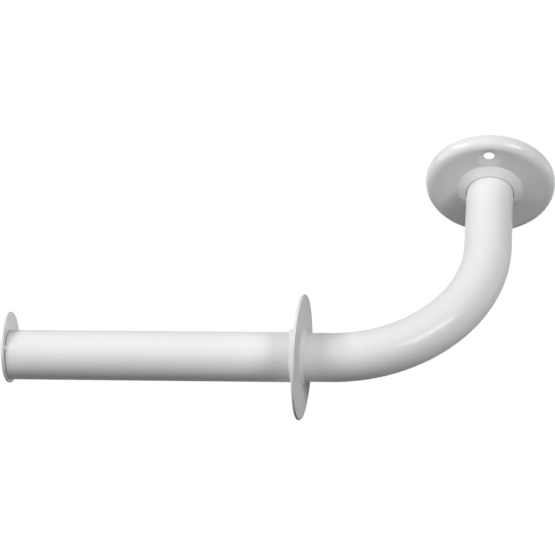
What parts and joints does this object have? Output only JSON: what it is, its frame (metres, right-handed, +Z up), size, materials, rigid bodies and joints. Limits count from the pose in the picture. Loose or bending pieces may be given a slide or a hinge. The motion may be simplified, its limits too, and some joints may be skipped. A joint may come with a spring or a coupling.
{
  "type": "wall-mounted roll holder",
  "caption": "L-shaped wall roll holder: a bent steel tube arm with a round stop disc and an off-centre end disc, welded to a pressed wall flange and coated white.",
  "frame": {"origin": "centre of the wall flange, on the wall plane", "axes": "+Y into the wall, +Z up, the roll bar runs towards -X and its end disc stands out towards the wall, +Y"},
  "size_m": [0.2468, 0.1393, 0.061],
  "materials": {
    "tube_coat": "gloss white powder coat on drawn steel tube",
    "disc_coat": "gloss white powder coat on blanked steel sheet",
    "flange_coat": "gloss white powder coat on pressed steel sheet",
    "weld_coat": "white powder coat over a rippled weld bead"
  },
  "bodies": {
    "root": {"roll_bar": "tube_coat", "elbow_tube": "tube_coat", "stop_disc": "disc_coat", "end_disc": "disc_coat", "wall_flange": "flange_coat", "stop_disc_weld": "weld_coat", "elbow_weld": "weld_coat", "flange_weld": "weld_coat", "end_disc_tack_1": "weld_coat", "end_disc_tack_2": "weld_coat", "end_disc_tack_3": "weld_coat", "end_disc_tack_4": "weld_coat"}
  },
  "joints": []
}
